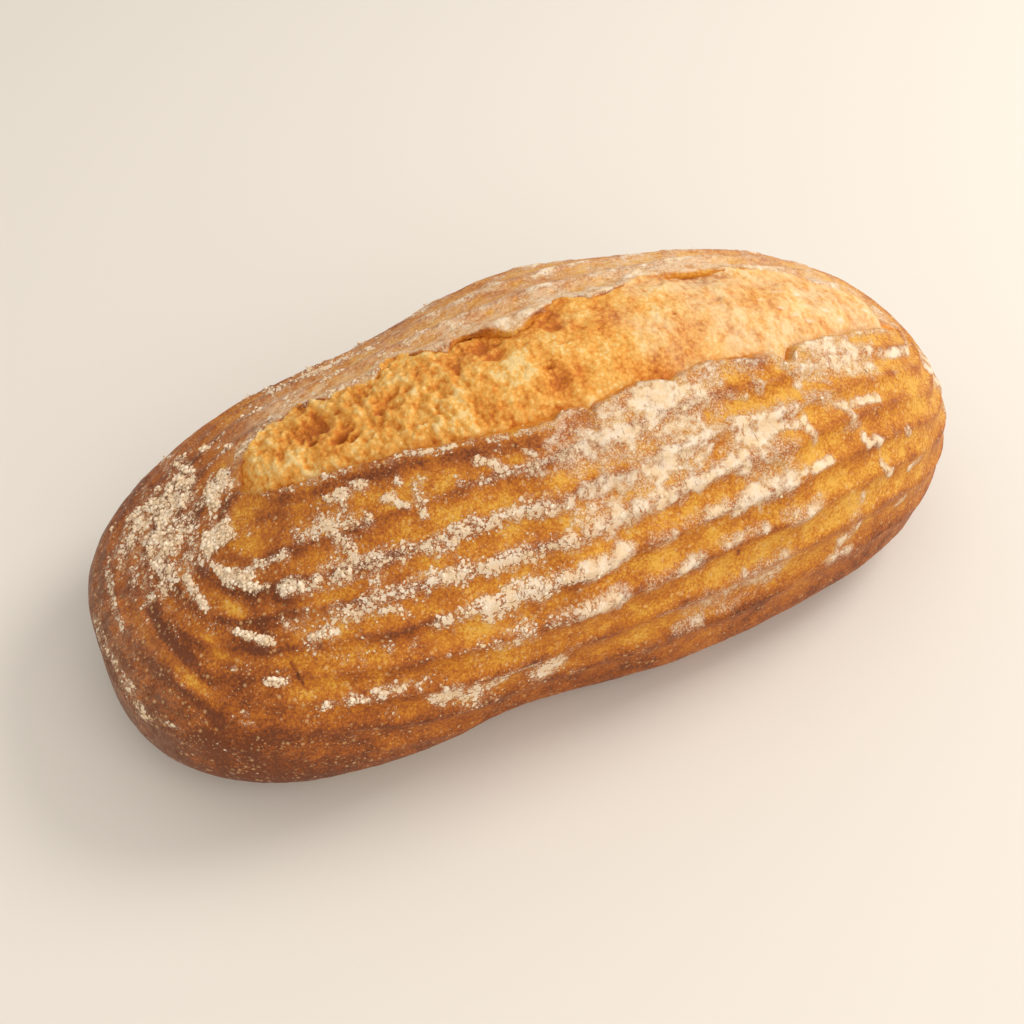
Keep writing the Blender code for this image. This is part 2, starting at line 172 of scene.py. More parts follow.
# Patches of thick flour: start x and side ring, end x and side ring, half width in rings,
# strength. The side ring counts from the spine, up toward the front and down toward the back.
FLOUR = [
    (-51, 1.3, -46, 1.3, 0.25, 0.6), (-43, 1.2, -29, 1.4, 0.25, 0.55),
    (-29, 1.3, -16, 1.4, 0.3, 0.75), (-16, 1.4, -2, 1.5, 0.4, 0.85), (-17, 1.4, -8, 1.4, 0.3, 0.6),
    (-8, 1.3, 12, 1.5, 0.9, 0.95), (-83, 2.1, -74, 2.2, 0.5, 0.6), (-75, 2.3, -67, 2.3, 0.35, 0.9),
    (-69, 2.1, -57, 2.4, 0.3, 0.85), (-57, 2.4, -51, 2.4, 0.3, 1), (-50, 2.3, -44, 2.3, 0.3, 1),
    (-44, 2.4, -37, 2.4, 0.25, 1), (-36, 2.3, -28, 2.3, 0.3, 1.1), (-27, 2.4, -18, 2.4, 0.3, 1.05),
    (-12, 2.4, -6, 2.4, 0.3, 0.9), (-21, 2.5, -17, 2.4, 0.3, 1), (-16, 2.4, -8, 2.5, 0.25, 0.6),
    (-8, 2.5, 0, 2.5, 0.25, 1), (0, 2.5, 10, 2.5, 0.3, 1.1), (12, 2.4, 23, 2.4, 1, 1),
    (23, 2.3, 34, 2.2, 0.4, 0.8), (34, 2.2, 42, 2.3, 0.3, 0.8), (42, 2.3, 61, 2.3, 0.4, 1),
    (-90, 3.9, -85, 3.7, 0.3, 0.9), (-86, 3.7, -78, 3.4, 0.3, 0.9),
    (-75, 3.3, -68, 3.3, 0.35, 0.8), (-68, 3.3, -60, 3.2, 0.4, 0.7),
    (-59, 3.3, -50, 3.3, 0.3, 1.1), (-48, 3.3, -45, 3.3, 0.25, 0.9),
    (-43, 3.5, -38, 3.5, 0.35, 1.1), (-37, 3.4, -32, 3.4, 0.3, 1.15),
    (-30, 3.4, -27, 3.4, 0.2, 0.8), (-24, 3.3, -21, 3.3, 0.25, 0.9),
    (-18, 3.4, -10, 3.4, 0.25, 0.85), (-20, 3.2, -9, 3.4, 0.2, 0.8),
    (-14, 3.1, -5, 3.3, 0.6, 0.95), (-5, 3.4, 1, 3.4, 0.3, 1.1), (2, 3.3, 17, 3.3, 0.3, 1.25),
    (18, 3.2, 28, 3.3, 0.25, 1.15), (28, 3.3, 41, 3.1, 0.25, 1.15), (41, 3.1, 50, 3.2, 0.9, 1),
    (-61, 4.4, -55, 4.4, 0.25, 1), (-54, 4.3, -50, 4.3, 0.25, 1.15), (-47, 4.4, -39, 4.3, 0.5, 1),
    (-39, 4.3, -33, 4.3, 0.45, 1.2), (-32, 4.4, -29, 4.3, 0.25, 1.1),
    (-26, 4.2, -19, 4.2, 0.22, 1.1), (-18, 4.2, -12, 4.3, 0.3, 1.1), (-28, 4.2, -20, 4.2, 0.25, 1),
    (-18, 4.2, -5, 4.3, 0.35, 1.2), (5, 4.3, 11, 4.3, 0.3, 0.7), (12, 4.2, 21, 4.2, 0.25, 0.55),
    (23, 4.2, 31, 4.2, 0.2, 0.95), (34, 4.4, 42, 4.2, 0.3, 1.15), (42, 4.2, 53, 4.1, 0.45, 1.2),
    (-46, 5.4, -37, 5.4, 0.4, 0.75), (-30, 5.2, -14, 5.3, 0.2, 0.8),
    (-30, 5.3, -17, 5.2, 0.15, 0.8), (-18, 5.2, -7, 5.3, 0.3, 1.15), (1, 5.3, 12, 5.3, 0.3, 0.6),
    (13, 5.3, 20, 5.3, 0.3, 0.8), (20, 5.1, 28, 5.2, 0.2, 0.5), (28, 5.1, 43, 5.2, 0.15, 0.9),
    (52, 5.2, 63, 5.2, 0.3, 0.95), (-93, 4.9, -88, 4.8, 0.3, 0.4), (5, 6.4, 13, 6.4, 0.1, 0.5),
    (17, 6.6, 49, 6.6, 0.45, 0.7), (32, 6.4, 52, 6.3, 0.3, 0.7), (78, 6.2, 84, 5.8, 0.15, 0.6),
    (-84, 6.1, -77, 6.1, 0.3, 0.9), (-71, 6.1, -69, 6, 0.2, 0.8), (-66, 6.7, -61, 6.6, 0.35, 1.2),
    (-57, 6.8, -54, 6.7, 0.3, 1.15), (-53, 6.8, -47, 6.6, 0.25, 1),
    (-49, 6.4, -35, 6.5, 0.12, 0.85), (-34, 6.9, -29, 6.8, 0.4, 1.15),
    (-97, 6.4, -87, 6.3, 0.25, 0.8), (12, 7.1, 21, 7.1, 0.2, 1), (24, 7.1, 35, 7, 0.1, 0.6),
    (75, 6.8, 81, 6.6, 0.2, 1), (70, 7.2, 79, 7.2, 0.2, 0.9), (-118, -4.1, -120, -3.8, 1.1, 0.9),
    (-130, -5.9, -114, -3.4, 0.87, 0.75), (-127, -4.1, -109, -1.6, 0.75, 0.5),
    (-103, -2.5, -104, -1.9, 0.26, 1.2), (-99, -2.5, -99, -1.9, 0.23, 1.1),
    (-92, -2.7, -87, -2.9, 0.17, 1.1), (-112, -1.8, -105, -1, 0.26, 1.1),
    (-120, 2.9, -119, 3.1, 0.2, 0.9), (-111, 2, -104, 1.7, 0.17, 1.1),
    (-100, 1.5, -94, 1.4, 0.17, 1), (-75, 0.2, -73, 0.1, 0.23, 1.25),
    (-87, 1, -78, 0.9, 0.35, 0.95), (-78, 0.9, -74, 0.8, 0.23, 0.8),
    (-113, 3.7, -106, 4, 0.12, 1.1), (-106, 2.1, -101, 2.2, 0.12, 1.1),
    (-96, 2.5, -81, 2.5, 0.38, 0.85), (-95, 4.1, -91, 3.9, 0.14, 1.1),
    (-98, 3.7, -85, 3.5, 0.35, 0.6), (-110, 5.4, -106, 5.4, 0.14, 0.9),
    (-140, -6.8, -142, -6.5, 0.23, 0.8), (-148, 8, -144, 8.9, 0.17, 0.8),
    (-110, -7.8, -107, -3.7, 0.23, 0.6), (-110, -4, -107, -3.5, 0.14, 1.1),
    (60, 0.7, 64, 1.1, 0.14, 0.9), (74, 0.7, 101, 1.3, 0.41, 1), (71, 1.3, 99, 1.8, 0.52, 1),
    (71, 0.8, 67, 1.7, 0.23, 0.8), (107, 1.5, 129, 1.5, 0.23, 1), (135, 2.6, 140, 4.7, 0.23, 1),
    (139, 5.1, 137, 5.6, 0.14, 0.8), (86, 2.9, 97, 3, 0.17, 1.15), (82, 2.9, 83, 3.6, 0.14, 1.15),
    (68, 2.2, 81, 2.8, 0.26, 0.8), (47, 2.5, 64, 2.8, 0.2, 1), (65, 3.1, 66, 3.5, 0.14, 1.15),
    (89, 4.2, 92, 4.4, 0.17, 1), (106, 4.3, 107, 4.5, 0.09, 1.2), (14, 0.9, 32, 1.2, 0.52, 1.25),
    (1, 0.7, 13, 1.1, 0.29, 0.95), (15, 1.6, 29, 1.8, 0.35, 1.15), (29, 0.8, 40, 0.9, 0.29, 0.9),
    (35, 1.2, 37, 1.7, 0.29, 0.8), (41, 2.8, 51, 2.8, 0.43, 1.05), (48, 2.6, 51, 3.2, 0.35, 0.9),
    (63, 4.2, 70, 4.2, 0.14, 1.2), (56, 4.1, 60, 4.1, 0.09, 1.1), (86, 4, 87, 4.3, 0.14, 1.15),
    (92, 5.1, 96, 5.5, 0.12, 1.2), (80, 3.5, 85, 3.6, 0.17, 0.7), (107, 5.7, 113, 5.5, 0.09, 0.9),
    (102, 6.7, 106, 6.6, 0.09, 1), (-74, 0.1, -73, 0.2, 0.23, 1.25), (-68, 0.1, -66, 0.3, 0.14, 1),
    (-74, 0.7, -72, 1.1, 0.26, 0.75), (-80, 1.2, -77, 1.5, 0.2, 0.8),
    (-77, 1.7, -77, 2.1, 0.17, 1.1), (-82, 2, -74, 2.7, 0.46, 0.75),
    (-63, 0.8, -58, 1.2, 0.09, 1.1), (-57, 0.5, -57, 0.6, 0.12, 1.1),
    (-54, 0.8, -54, 1.2, 0.17, 1.1), (-35, 0.8, -32, 1, 0.14, 1.1), (-23, 0.9, -21, 1, 0.12, 0.9),
    (-16, 0.9, -13, 0.9, 0.17, 0.9), (-61, 0.8, -60, 0.8, 0.09, 1.2),
    (-69, 1.1, -69, 1.2, 0.09, 1.2), (-55, 1.5, -55, 1.6, 0.09, 1.1),
    (-75, 3.7, -71, 3.7, 0.12, 1.1), (-79, 4.7, -70, 4.8, 0.2, 0.5), (-14, 2.9, -8, 3, 0.35, 0.7),
    (-140, -6.9, -141, -6.5, 0.23, 1), (-141, -6.5, -142, -6.5, 0.14, 0.75),
    (-147, 8, -146, 7.9, 0.17, 0.85), (-146, 8.1, -145, 9, 0.17, 0.75),
    (-148, -7.9, -149, -8.5, 0.09, 0.7), (-120, 6.6, -119, 7, 0.2, 0.5),
    (-141, 8.5, -138, 8.4, 0.14, 0.55), (-100, 6.6, -97, 6.4, 0.09, 0.9),
    (29, 0.5, 44, 0.6, 0.2, 0.8), (32, 1.1, 39, 1.5, 0.2, 0.7), (46, 0.7, 55, 0.9, 0.17, 0.6),
    (57, 0.5, 62, 0.6, 0.12, 0.8), (52, 1, 52, 1.5, 0.17, 0.75), (41, 1.4, 47, 1.6, 0.14, 0.7),
    (64, 1.3, 79, 2, 0.14, 0.8), (14, 1.5, 24, 1.9, 0.2, 0.8), (2, 0.7, 15, 0.7, 0.26, 0.75),
]

# Golden and dark places of the crust, listed the same way: the last value is how much
# darker, negative for golden
TONES = [
    (-112, 2.7, -111, 3.1, 0.17, -0.35), (-123, 3.8, -119, 4.5, 0.26, -0.55),
    (-119, 4.6, -104, 4.6, 0.23, -0.35), (-132, 5.3, -129, 5.9, 0.29, -0.5),
    (-129, 5.9, -126, 6.4, 0.23, -0.3), (-104, 4.5, -92, 4.5, 0.38, -0.4),
    (-102, 5.9, -95, 5.6, 0.38, -0.4), (-137, 5.6, -137, 5.6, 0.2, -0.3),
    (-130, 7.6, -128, 7.7, 0.2, -0.25), (-101, -0.9, -96, -0.5, 0.29, -0.35),
    (-101, 0.6, -102, 1.1, 0.35, -0.4), (-113, 2.8, -111, 3, 0.26, -0.35),
    (-121, -3.1, -119, -2.8, 0.2, -0.3), (-130, 4.3, -125, 3.6, 0.35, -0.2),
    (-128, 5, -126, 5.6, 0.26, 0.5), (-130, 4.8, -128, 5, 0.23, 0.35),
    (-136, 6.2, -127, 6.9, 0.26, 0.4), (-133, 4.8, -133, 4.9, 0.26, 0.4),
    (-125, 3.6, -124, 3.8, 0.29, 0.35), (-116, 2.4, -110, 1.9, 0.26, 0.35),
    (-132, 4.7, -131, 4.8, 0.29, 0.4), (-95, 0.1, -84, 0.4, 0.26, 0.3),
    (-105, 2.7, -96, 2.9, 0.26, 0.3), (-136, 8.7, -125, 8.3, 0.64, 0.2),
    (-114, 4, -109, 4.3, 0.17, 0.3), (-148, 8.6, -142, 9.5, 0.26, 0.25),
    (57, 1, 62, 1.5, 0.23, 0.3), (48, 0.5, 57, 0.7, 0.14, 0.6), (29, 2.4, 39, 2.8, 0.23, 0.3),
    (56, 2.5, 63, 2.9, 0.17, 0.4),
]
TONE_STRENGTH = 0.62
CRACK_BROWN = 0.55
CRACK_DEPTH = 0.4


def power(v, k):
    return np.sign(v) * np.abs(v) ** k


def smooth(a, b, v):
    t = np.clip((v - a) / (b - a), 0.0, 1.0)
    return t * t * (3.0 - 2.0 * t)


def quadratic(factors, u):
    return factors[0] + factors[1] * u + factors[2] * u * u


def hill(v, width):
    return np.exp(-(v / width) ** 2)


def decay(v, reach):
    """1 where v is 0 or less, and less and less beyond."""
    return np.exp(-np.maximum(v, 0.0) / reach)


def fade(v, start, end):
    """Rises from 0 to 1 over the start and falls back over the end."""
    return smooth(*start, v) * (1.0 - smooth(*end, v))


def bump(x, height, centre, width):
    return height * hill(x - centre, width)


# Noise in numpy, because the crust has too many points for one call each. Every use has a
# seed of its own: 11 to 14 for the slash edges, 21 to 29 for flour and browning, 31 to 34
# for the relief, 41 for the coil ridges and 51 to 56 for the opened crumb.
TABLE_SIZE = 1024
NOISE_SCALE = 1.6
LAYERS_SCALE = 1.4
LAYER_SHIFT = 31.7


class Noise:
    """Smooth gradient noise."""

    def __init__(self, seed):
        rng = np.random.default_rng(seed)
        self.order = rng.permutation(TABLE_SIZE)
        slopes = rng.normal(size=(TABLE_SIZE, 3))
        self.slopes = slopes / np.linalg.norm(slopes, axis=1)[:, None]

    def key(self, cell):
        k = self.order[cell[:, 0] % TABLE_SIZE]
        k = self.order[(k + cell[:, 1]) % TABLE_SIZE]
        return self.order[(k + cell[:, 2]) % TABLE_SIZE]

    def smooth(self, p, size):
        """Gradient noise of about -1 to 1 with features of this size."""
        q = p / np.asarray(size, dtype=float)
        cell = np.floor(q).astype(np.int64)
        f = q - cell
        w = f * f * f * (f * (f * 6.0 - 15.0) + 10.0)
        total = np.zeros(len(q))
        for corner in itertools.product((0, 1), repeat=3):
            c = np.array(corner)
            slope = self.slopes[self.key(cell + c)]
            weight = np.prod(np.where(c, w, 1.0 - w), axis=1)
            total += weight * np.einsum("ij,ij->i", slope, f - c)
        return total * NOISE_SCALE

    def layers(self, p, size, count):
        """Several octaves, each half the size and half the strength of the one before."""
        size = np.asarray(size, dtype=float)
        return sum(self.smooth(p + LAYER_SHIFT * k, size / 2 ** k) / 2 ** k
                   for k in range(count)) / LAYERS_SCALE


def body(s_x, angle):
    """Plain CAD body: s_x is the sine of the end angle, angle turns from the back over the top."""
    u = power(s_x, LENGTH_POWER)
    x = HALF_LENGTH * u
    rho = np.clip(1.0 - s_x ** 2, 0.0, 1.0) ** (END_POWER / 2.0)
    c = np.cos(angle)
    s = np.sin(angle)
    taper = quadratic(WIDTH_TAPER, u)
    y = np.where(c > 0.0, HALF_BACK, HALF_FRONT) * taper * rho * power(c, SIDE_POWER)
    y = y + BEND * u * (1.0 - u * u)
    upper = RISE * quadratic(RISE_TAPER, u) * rho * power(s, TOP_POWER)
    low_rho = np.clip(1.0 - s_x ** 2, 0.0, 1.0) ** (LOW_END_POWER / 2.0)
    lower = (BELLY + SINK) * low_rho * power(s, BASE_POWER)
    z = BELLY + np.where(s > 0.0, upper, lower)
    front = np.where(c < 0.0, np.sqrt(np.abs(c)), 0.0)
    y = y + bump(x, *WAIST) * smooth(*WAIST_HEIGHT, z) * front
    back = smooth(*BACK_TURN, c) * smooth(*BACK_UP, s)
    push = (bump(x, *BACK_FLAT) + bump(x, *BACK_FULL)) * back
    z = np.maximum(z + BACK_PUSH_Z * push, 0.0)
    return np.stack([x, y + BACK_PUSH_Y * push, z], axis=-1)


def end_sine(x):
    return power(np.clip(x / HALF_LENGTH, -1.0, 1.0), 1.0 / LENGTH_POWER)


def top_height(x):
    u = np.clip(x / HALF_LENGTH, -1.0, 1.0)
    s = end_sine(x)
    rise = RISE * quadratic(RISE_TAPER, u)
    return BELLY + rise * np.clip(1.0 - s * s, 0.0, 1.0) ** (END_POWER / 2.0)


def lean(x, y):
    """Angle from straight up, in degrees toward the front, of the body at x and y."""
    u = np.clip(x / HALF_LENGTH, -1.0, 1.0)
    s = end_sine(x)
    wide = quadratic(WIDTH_TAPER, u) * np.clip(1.0 - s * s, 0.0, 1.0) ** (END_POWER / 2.0)
    wide = wide * np.where(y > 0.0, HALF_BACK, HALF_FRONT)
    t = power((y - BEND * u * (1.0 - u * u)) / np.maximum(wide, 1.0), 1.0 / SIDE_POWER)
    return -np.degrees(np.arcsin(np.clip(t, -0.95, 0.95)))


def along(x, seed, size):
    """Noise that changes only along the length."""
    p = np.stack([x, np.full_like(x, 3.3), np.full_like(x, 7.7)], axis=1)
    return Noise(seed).layers(p, (size, 9.0, 9.0), 3)


def torn_edge(points, steps, x):
    """One edge of the opened slash, with the small steps of a torn crust."""
    edge = np.interp(x, [p[0] for p in points], [p[1] for p in points])
    for strength, seed, size in steps:
        edge = edge + strength * along(x, seed, size)
    return edge


def near_edge(x):
    return torn_edge(NEAR_LIP, NEAR_STEPS, x)


def far_edge(x):
    return torn_edge(FAR_LIP, FAR_STEPS, x)


def open_length(x):
    return fade(x, SLASH_OPENS, SLASH_CLOSES)


def far_cave(x, least):
    """How deep the crumb is torn out under the far lip."""
    return least + sum(bump(x, *place) for place in FAR_CAVES)


def spine_y(x):
    return quadratic(SPINE_Y, np.clip(x, *SPINE_X) / 100.0)


def ring_field(p):
    """Whole numbers of this field are the crests of the coil ridges."""
    t = np.linspace(0.0, 1.0, SPINE_POINTS)
    x = SPINE_X[0] + (SPINE_X[1] - SPINE_X[0]) * t
    y = spine_y(x)
    z = top_height(x)
    reach = np.full(len(p), 1e9)
    for point in np.stack([x, y, z], axis=1):
        reach = np.minimum(reach, ((p - point) ** 2).sum(axis=1))
    reach = np.sqrt(reach) / 100.0
    u = p[:, 0] / 100.0
    return (RING_START + quadratic(RING_LINEAR, u) * reach
            + quadratic(RING_CUBIC, u) * reach ** 3)


# The crust as one mesh of squares over a box, bent onto the body


def box_squares(nx, nt, ns):
    """Corners (i, j, k) of the squares on a box of nx by nt by ns cells, outward."""
    squares = []
    for axis, high in itertools.product((0, 1, 2), (0, 1)):
        one, two = (axis + 1) % 3, (axis + 2) % 3
        size = (nx, nt, ns)
        g, h = np.meshgrid(np.arange(size[one]), np.arange(size[two]), indexing="ij")
        turns = ((0, 0), (1, 0), (1, 1), (0, 1)) if high else ((0, 0), (0, 1), (1, 1), (1, 0))
        corners = np.zeros((g.size, 4, 3), dtype=np.int64)
        for n, (dg, dh) in enumerate(turns):
            corners[:, n, axis] = size[axis] * high
            corners[:, n, one] = g.ravel() + dg
            corners[:, n, two] = h.ravel() + dh
        squares.append(corners)
    return squares


def grid_angle(b, c):
    """Angle round the girth, in degrees, for places on the rim of the unit square."""
    side = 90.0 - TOP_ANGLE
    flat = np.abs(b) >= np.abs(c)
    up = np.where(flat, c / np.where(flat, np.maximum(np.abs(b), 1e-9), 1.0), 0.0)
    tilt = side * up + SIDE_TILT * (1.0 - up * up)
    level = np.where(b > 0.0, tilt, 180.0 - tilt)
    across = b / np.maximum(np.abs(c), 1e-9)
    crown = np.where(c > 0.0, 90.0 - TOP_ANGLE * across, 270.0 + TOP_ANGLE * across)
    return np.where(flat, level, crown)


def lens_angle(angle, x):
    """Slide the mesh columns over the top so that two of them run along the slash edges."""
    near = lean(x, near_edge(x))
    far = lean(x, far_edge(x))
    inside = fade(x, COLUMNS_OPEN, COLUMNS_CLOSE)
    near = np.maximum(near, far + 0.6)
    edge = LIP_COLUMNS * 2.0 * TOP_ANGLE / CELLS_TOP
    stay = SLIDE_ANGLE
    t = angle - 90.0
    outer_far = (t + stay) / (stay - edge) * (far + stay) - stay
    middle = (t + edge) / (2.0 * edge)
    middle = 0.5 + 0.5 * power(2.0 * middle - 1.0, LENS_POWER)
    lens = far + middle * (near - far)
    outer_near = stay - (stay - t) / (stay - edge) * (stay - near)
    moved = np.where(t < -edge, outer_far, np.where(t > edge, outer_near, lens))
    moved = np.where(np.abs(t) < stay, moved, t)
    return angle + inside * (moved - t)


def grid_normals(p, faces):
    """Vertex normals of a mesh of squares."""
    a, b, c, d = (p[faces[:, n]] for n in range(4))
    flat = np.cross(c - a, d - b)
    total = np.zeros_like(p)
    for n in range(4):
        for axis in range(3):
            total[:, axis] += np.bincount(faces[:, n], weights=flat[:, axis], minlength=len(p))
    size = np.linalg.norm(total, axis=1)
    return total / np.maximum(size, 1e-12)[:, None]


def patches(p, ring, listed):
    """For each listed patch, how far every point lies from it, in half widths, and its value."""
    x = p[:, 0]
    side = np.where(p[:, 1] > spine_y(x), -1.0, 1.0)
    place = np.stack([x / PITCH, side * (ring - RING_START)], axis=1)
    uneven = 1.0 + 0.30 * Noise(24).layers(p, 5.0, 3)
    for x0, r0, x1, r1, wide, value in listed:
        a = np.array([x0 / PITCH, r0])
        d = np.array([x1 / PITCH, r1]) - a
        q = place - a
        t = np.clip((q @ d) / max(d @ d, 1e-9), 0.0, 1.0)
        yield uneven * np.linalg.norm(q - t[:, None] * d, axis=1) / (0.8 * wide + 0.05), value


def listed_flour(p, ring):
    """How thick the flour of the listed patches lies."""
    best = np.zeros(len(p))
    for away, strength in patches(p, ring, FLOUR):
        best = np.maximum(best, strength * np.exp(-0.8 * away ** 2.5))
    return best


def cracks(p):
    """For each short straight crack, how strongly it acts at every point."""
    for start, end, wide in CRACKS:
        a = np.array(start)
        d = np.array(end) - a
        t = np.clip(((p - a) @ d) / (d @ d), 0.0, 1.0)
        yield hill(np.linalg.norm(p - a - t[:, None] * d, axis=1), wide)


def crust_dust(p, ring, line, broad, beyond, above, edge_near, edge_far):
    """Thin flour: on the crests, on the lips, beyond the slash and on the hidden side."""
    x, y, z = p[:, 0], p[:, 1], p[:, 2]
    front = smooth(12.0, -8.0, y)
    hidden = smooth(8.0, 30.0, y)
    place = np.stack([x, np.round(ring) * 40.0, z * 0.0], axis=1)
    streak = Noise(21).layers(place, (17.0, 9.0, 9.0), 2)
    dust = line * smooth(-0.3, 0.5, streak) * (0.60 - 0.22 * front + 0.45 * hidden)
    flecks = smooth(0.15, 0.6, Noise(29).layers(p, (15.0, 7.0, 5.0), 3))
    dust = dust + 0.62 * flecks * hidden * smooth(18.0, 40.0, z)
    dust = dust + 0.16 * smooth(0.0, 0.7, broad) * fade(ring, *FLOUR_ROWS)
    near_rim = hill(edge_near + 0.7, 1.5) * open_length(x)
    near_rim = near_rim * (0.72 + 0.28 * smooth(-30.0, 0.0, x))
    near_rim = near_rim * (0.85 + 0.25 * Noise(27).layers(p, 9.0, 2))
    dust = np.maximum(dust, near_rim)
    dust = dust + (0.38 + 0.32 * smooth(-25.0, 5.0, x)) * beyond * smooth(-95.0, -60.0, x)
    far_rim = hill(edge_far + 3.0, 4.5) * above * open_length(x)
    dust = np.maximum(dust, far_rim * (0.55 + 0.35 * smooth(-30.0, 0.0, x)))
    zone = np.exp(-((x + 119.0) / 17.0) ** 2 - ((y - 14.0) / 22.0) ** 2)
    return np.maximum(dust, 0.72 * zone)


def crust_flour(p, ring, dust, chalk):
    """All flour: the listed patches and the dust, blotchy, and a rim at the left of the foot."""
    x, z = p[:, 0], p[:, 2]
    thin = 1.0 - 0.16 * (1.0 - chalk) * smooth(-104.0, -92.0, x)
    thin = thin * (1.0 - 0.25 * smooth(-133.0, -138.0, x))
    blotch = Noise(23).layers(p, 4.5, 3) * (0.40 - 0.12 * chalk)
    flour = 0.70 * np.maximum(listed_flour(p, ring) * thin, dust) + blotch
    flour = flour * smooth(3.0, 12.0, z)
    foot = smooth(7.5, 5.5, z) * (0.70 + 0.5 * Noise(28).layers(p, 14.0, 2))
    return np.maximum(flour, foot * smooth(-20.0, -70.0, x))


def crust_brown_and_shade(p, ring, line, tail, beyond, edge_near):
    """Browning along the crests, at the left, low down, under the near lip and in cracks. Low down
    it is partly deeper browning and partly painted shade, and the band just below each crest is
    partly painted shade.
    """
    x, z = p[:, 0], p[:, 2]
    left = smooth(-60.0, -125.0, x)
    broken = 0.75 + 0.6 * Noise(26).layers(p, (20.0, 14.0, 12.0), 2)
    # Browning along the crests, with painted shade in the band just below them
    brown_and_shade = (0.50 * line + 0.20 * tail) * broken * (1.0 - 0.4 * smooth(20.0, 70.0, x))
    brown_and_shade = brown_and_shade * (1.0 - 0.6 * beyond)
    brown_and_shade = brown_and_shade + 0.26 * Noise(25).layers(p, 20.0, 3) + 0.12
    # Slightly browner toward the right end, and darker low down there as painted shade
    brown_and_shade = brown_and_shade + smooth(10.0, 70.0, x) * (0.04 + 0.12 * smooth(60.0, 25.0, z))
    brown_and_shade = brown_and_shade + 0.07 * smooth(10.0, -50.0, x) + 0.34 * left - 0.12 * smooth(-20.0, 90.0, x)
    # Darker toward the bottom: partly the deeper browning of the bottom band, partly painted shade
    # where less light comes from below
    low = smooth(30.0, 12.0, z) + 0.6 * smooth(6.2, 7.4, ring)
    brown_and_shade = brown_and_shade + 0.28 * np.minimum(low, 1.0) + 0.16 * smooth(55.0, 20.0, z)
    under_lip = hill(edge_near + 4.0, 2.6) * smooth(-92.0, -80.0, x)
    under_lip = under_lip * smooth(20.0, -35.0, x)
    brown_and_shade = brown_and_shade + 0.42 * under_lip
    for away, value in patches(p, ring, TONES):
        brown_and_shade = brown_and_shade + TONE_STRENGTH * value * np.exp(-away ** 2)
    for crack in cracks(p):
        brown_and_shade = brown_and_shade + CRACK_BROWN * crack
    return brown_and_shade


def crust_paint(p, ring, edge_near, edge_far):
    """Values of about 0 to 1: flour, browning with some painted shade, chalk, where flour is
    smeared instead of grainy, and the pale haze beyond the slash."""
    x, z = p[:, 0], p[:, 2]
    off = ring - np.round(ring)
    rows = fade(ring, *FLOUR_ROWS)
    end_fade = 1.0 - 0.75 * smooth(-72.0, -95.0, x) * smooth(4.2, 5.2, ring)
    end_fade = end_fade * (1.0 - 0.35 * smooth(-100.0, -125.0, x))
    line = hill(off, 0.13) * rows * end_fade
    # Band just below each crest: partly browning, partly painted shade under the ridge
    tail = hill(off - 0.2, 0.16) * rows * end_fade
    above = (edge_far < 0.5) * smooth(60.0, 80.0, z)
    beyond = decay(-edge_far, 26.0) * above
    broad = Noise(22).layers(p, 34.0, 2)
    chalk = smooth(-40.0, 10.0, x + 14.0 * broad)
    dust = crust_dust(p, ring, line, broad, beyond, above, edge_near, edge_far)
    haze = 0.75 * beyond * smooth(-110.0, -80.0, x) * (0.8 + 0.4 * broad)
    haze = haze + 0.12 * hill(x + 146.0, 10.0)
    return {"flour": crust_flour(p, ring, dust, chalk),
            "brown_and_shade": crust_brown_and_shade(p, ring, line, tail, beyond, edge_near),
            "chalk": chalk, "haze": np.clip(haze, 0.0, 0.8)}


def crust_relief(p, ring, flour, edge_near, edge_far, depth):
    """How far the crust stands off the plain body, and how far it hangs over the slash."""
    x, y, z = p[:, 0], p[:, 1], p[:, 2]
    off = ring - np.round(ring)
    back = smooth(0.0, 60.0, y)
    strength = fade(ring, *RIDGE_ROWS) * smooth(8.0, 26.0, z)
    strength = strength * (1.0 - 0.35 * back) * (1.0 - 0.4 * smooth(85.0, 115.0, x))
    strength = strength * (1.0 - smooth(-70.0, -95.0, x) * smooth(2.6, 1.6, ring))
    strength = strength * (1.0 - 0.7 * smooth(-80.0, -112.0, x))
    uneven = 1.0 + 0.35 * Noise(31).smooth(p, 26.0)
    crest = 0.75 * hill(off, 0.14) + 0.45 * np.cos(2.0 * math.pi * off)
    ridge = 1.05 * (crest - 0.25) * strength * uneven
    swell = 0.7 * Noise(32).layers(p, 34.0, 2) + 0.22 * Noise(33).layers(p, 9.0, 3)
    grain = 0.13 * Noise(34).layers(p, 2.4, 2)
    cake = 0.40 * smooth(0.40, 0.62, flour)
    for crack in cracks(p):
        grain = grain - CRACK_DEPTH * crack
    height = ridge + (swell + grain + cake) * smooth(2.0, 14.0, z)
    open_here = open_length(x) * smooth(45.0, 62.0, z)
    lip_near = 2.0 * decay(-edge_near, 5.0) * open_here
    lip_far = 1.0 * decay(-edge_far, 8.0) * open_here
    lip_far = lip_far * (1.0 - 0.6 * smooth(75.0, 100.0, x))
    height = height + np.where(np.abs(edge_near) < np.abs(edge_far), lip_near, lip_far)
    roll = np.interp(depth, np.arange(len(LIP_ROLL)), LIP_ROLL)
    closing = 1.0 - smooth(*SINK_CLOSES, x)
    height = np.where(depth > len(LIP_ROLL) - 1, SUNK * closing - 0.4, height - roll * closing)
    reach = 2.2 * far_cave(x, 0.15) * hill(np.minimum(edge_far, 0.0), 1.5) * open_here
    reach = np.where(depth > 2, 0.0, reach)
    return height, reach


